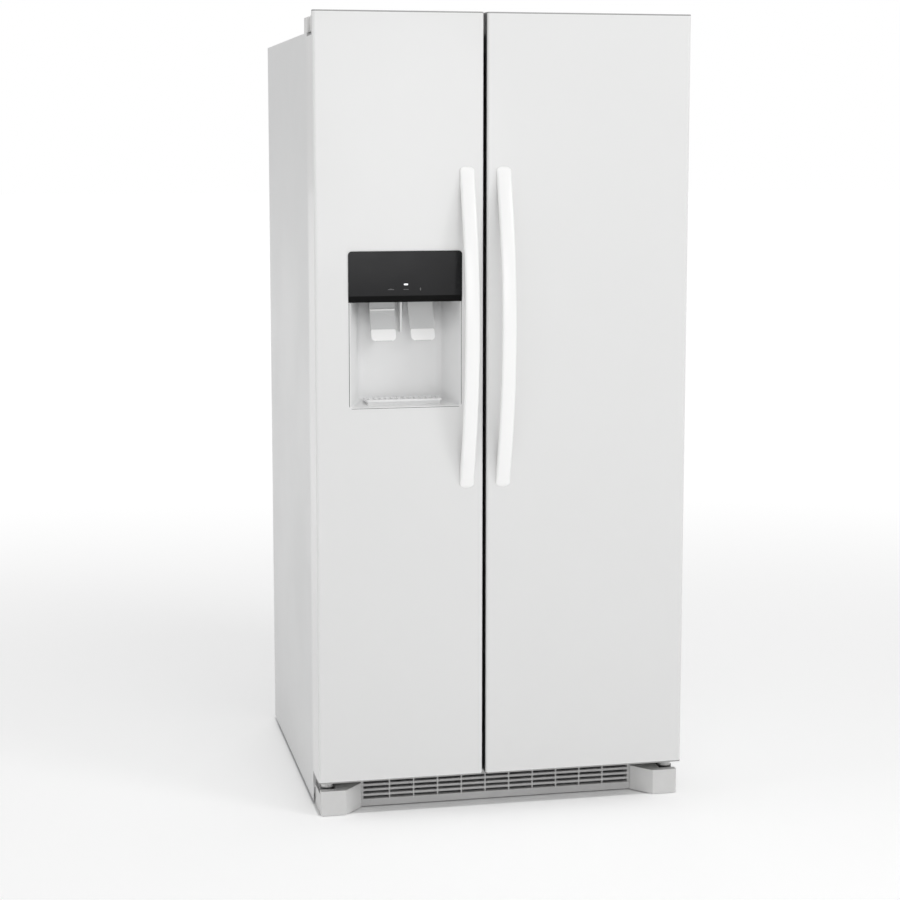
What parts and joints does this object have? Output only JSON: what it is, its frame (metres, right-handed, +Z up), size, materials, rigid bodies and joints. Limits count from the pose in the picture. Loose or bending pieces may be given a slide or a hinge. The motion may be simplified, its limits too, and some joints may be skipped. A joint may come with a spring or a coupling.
{
  "type": "side by side refrigerator",
  "caption": "Upright refrigerator with a freezer door and a fresh food door side by side, an ice and water dispenser, bowed handles and sliding drawers inside.",
  "frame": {"origin": "on the floor, under the middle of the whole object", "axes": "+X to the viewer's right, the doors face -Y, +Z up"},
  "size_m": [0.8414, 0.889, 1.7748],
  "materials": {
    "cabinet_paint": "satin textured light grey-white",
    "door_paint": "smooth satin white",
    "handle_paint": "satin white",
    "back_sheet": "plain zinc grey",
    "galvanised": "galvanised",
    "hinge_steel": "zinc plated",
    "liner_plastic": "white vacuum formed",
    "foam": "rigid foam",
    "grille_plastic": "light grey moulded",
    "trim_plastic": "light grey moulded",
    "cap_plastic": "grey-white moulded",
    "compressor_black": "black enamel",
    "valve_plastic": "off-white moulded",
    "coil_aluminium": "mill finish",
    "wire_white": "white coated wire",
    "shelf_glass": "clear toughened",
    "lamp_plastic": "frosted white",
    "roller_plastic": "dark moulded",
    "fan_plastic": "black moulded",
    "basket_plastic": "white moulded",
    "clear_plastic": "clear moulded",
    "gasket": "soft light grey",
    "dispenser_plastic": "fine satin light grey",
    "panel_black": "gloss black",
    "paddle_plastic": "light grey moulded",
    "flap_plastic": "grey moulded"
  },
  "bodies": {
    "cabinet": {"side_panel_left": "cabinet_paint", "side_panel_right": "cabinet_paint", "top_panel": "cabinet_paint", "back_panel": "back_sheet", "base_pan": "galvanised", "mullion_cover": "cabinet_paint", "freezer_liner": "liner_plastic", "fresh_food_liner": "liner_plastic", "cabinet_foam": "foam", "toe_grille": "grille_plastic", "foot_covers": "trim_plastic", "top_hinge_brackets": "hinge_steel", "hinge_covers": "trim_plastic", "lower_hinges": "hinge_steel", "roller_brackets": "galvanised", "levelling_legs": "hinge_steel", "compressor": "compressor_black", "condenser_coil": "compressor_black", "machine_cover": "back_sheet", "water_valve": "valve_plastic", "evaporator_cover": "liner_plastic", "evaporator_coil": "coil_aluminium", "freezer_shelves": "wire_white", "ice_maker": "liner_plastic", "shelf_frames": "trim_plastic", "shelf_glass": "shelf_glass", "light_housing": "lamp_plastic", "cabinet_screws": "hinge_steel"},
    "front_rollers": {"front_rollers": "roller_plastic"},
    "rear_rollers": {"rear_rollers": "roller_plastic"},
    "condenser_fan": {"condenser_fan": "fan_plastic"},
    "evaporator_fan": {"evaporator_fan": "fan_plastic"},
    "freezer_basket_lower": {"freezer_basket_lower": "basket_plastic"},
    "freezer_basket_upper": {"freezer_basket_upper": "basket_plastic"},
    "ice_shutoff_arm": {"ice_shutoff_arm": "hinge_steel"},
    "ice_bin": {"ice_bin": "clear_plastic"},
    "ice_auger": {"ice_auger": "coil_aluminium"},
    "crisper_drawer_lower": {"crisper_drawer_lower": "clear_plastic"},
    "crisper_drawer_upper": {"crisper_drawer_upper": "clear_plastic"},
    "freezer_door": {"freezer_door_skin": "door_paint", "freezer_door_foam": "foam", "freezer_door_caps": "cap_plastic", "freezer_door_gasket": "gasket", "freezer_door_liner": "liner_plastic", "freezer_door_bins": "clear_plastic", "freezer_handle": "handle_paint", "dispenser_housing": "dispenser_plastic", "control_panel": "panel_black"},
    "ice_paddle": {"ice_paddle": "paddle_plastic"},
    "water_paddle": {"water_paddle": "paddle_plastic"},
    "ice_chute_flap": {"ice_chute_flap": "flap_plastic"},
    "drip_tray": {"drip_tray": "dispenser_plastic"},
    "fresh_food_door": {"fresh_food_door_skin": "door_paint", "fresh_food_door_foam": "foam", "fresh_food_door_caps": "cap_plastic", "fresh_food_door_gasket": "gasket", "fresh_food_door_liner": "liner_plastic", "fresh_food_door_bins": "clear_plastic", "fresh_food_handle": "handle_paint"},
    "dairy_flap": {"dairy_flap": "clear_plastic"}
  },
  "joints": [
    {"name": "freezer_door_swing", "type": "hinge", "parent": "cabinet", "child": "freezer_door", "pos_m": [-0.3967, -0.3355, 0.9], "axis": [0, 0, -1], "range_deg": [0, 115]},
    {"name": "fresh_food_door_swing", "type": "hinge", "parent": "cabinet", "child": "fresh_food_door", "pos_m": [0.3967, -0.3355, 0.9], "axis": [0, 0, 1], "range_deg": [0, 115]},
    {"name": "ice_paddle_press", "type": "hinge", "parent": "freezer_door", "child": "ice_paddle", "pos_m": [-0.265, -0.3245, 1.162], "axis": [1, 0, 0], "range_deg": [0, 12], "stiffness_Nm_per_rad": 0.15, "springref_deg": -11.46},
    {"name": "water_paddle_press", "type": "hinge", "parent": "freezer_door", "child": "water_paddle", "pos_m": [-0.179, -0.3245, 1.162], "axis": [1, 0, 0], "range_deg": [0, 12], "stiffness_Nm_per_rad": 0.15, "springref_deg": -11.46},
    {"name": "ice_chute_flap_open", "type": "hinge", "parent": "freezer_door", "child": "ice_chute_flap", "pos_m": [-0.265, -0.3065, 1.244], "axis": [-1, 0, 0], "range_deg": [0, 35]},
    {"name": "drip_tray_lift", "type": "slide", "parent": "freezer_door", "child": "drip_tray", "axis": [0, 0, 1], "range_m": [0, 0.02]},
    {"name": "freezer_basket_lower_slide", "type": "slide", "parent": "cabinet", "child": "freezer_basket_lower", "axis": [0, -1, 0], "range_m": [0, 0.12]},
    {"name": "freezer_basket_upper_slide", "type": "slide", "parent": "cabinet", "child": "freezer_basket_upper", "axis": [0, -1, 0], "range_m": [0, 0.12]},
    {"name": "crisper_lower_slide", "type": "slide", "parent": "cabinet", "child": "crisper_drawer_lower", "axis": [0, -1, 0], "range_m": [0, 0.115]},
    {"name": "crisper_upper_slide", "type": "slide", "parent": "cabinet", "child": "crisper_drawer_upper", "axis": [0, -1, 0], "range_m": [0, 0.115]},
    {"name": "ice_bin_slide", "type": "slide", "parent": "cabinet", "child": "ice_bin", "axis": [0, -1, 0], "range_m": [0, 0.048]},
    {"name": "ice_auger_spin", "type": "hinge", "parent": "ice_bin", "child": "ice_auger", "pos_m": [-0.265, 0.066, 1.3978], "axis": [0, 1, 0], "continuous": true},
    {"name": "ice_shutoff_arm_lift", "type": "hinge", "parent": "cabinet", "child": "ice_shutoff_arm", "pos_m": [-0.146, 0.0535, 1.5778], "axis": [1, 0, 0], "range_deg": [0, 25]},
    {"name": "condenser_fan_spin", "type": "hinge", "parent": "cabinet", "child": "condenser_fan", "pos_m": [-0.01, 0.3135, 0.116], "axis": [1, 0, 0], "continuous": true},
    {"name": "evaporator_fan_spin", "type": "hinge", "parent": "cabinet", "child": "evaporator_fan", "pos_m": [-0.221, 0.3435, 0.836], "axis": [0, 1, 0], "continuous": true},
    {"name": "front_roller_spin", "type": "hinge", "parent": "cabinet", "child": "front_rollers", "pos_m": [0, -0.2145, 0.024], "axis": [1, 0, 0], "continuous": true},
    {"name": "rear_roller_spin", "type": "hinge", "parent": "cabinet", "child": "rear_rollers", "pos_m": [0, 0.3745, 0.024], "axis": [1, 0, 0], "continuous": true},
    {"name": "dairy_flap_lift", "type": "hinge", "parent": "fresh_food_door", "child": "dairy_flap", "pos_m": [0.2, -0.2285, 1.484], "axis": [1, 0, 0], "range_deg": [0, 80]}
  ],
  "couplings": [
    {"joint": "ice_chute_flap_open", "follows": "ice_paddle_press", "ratio": 2.9}
  ]
}
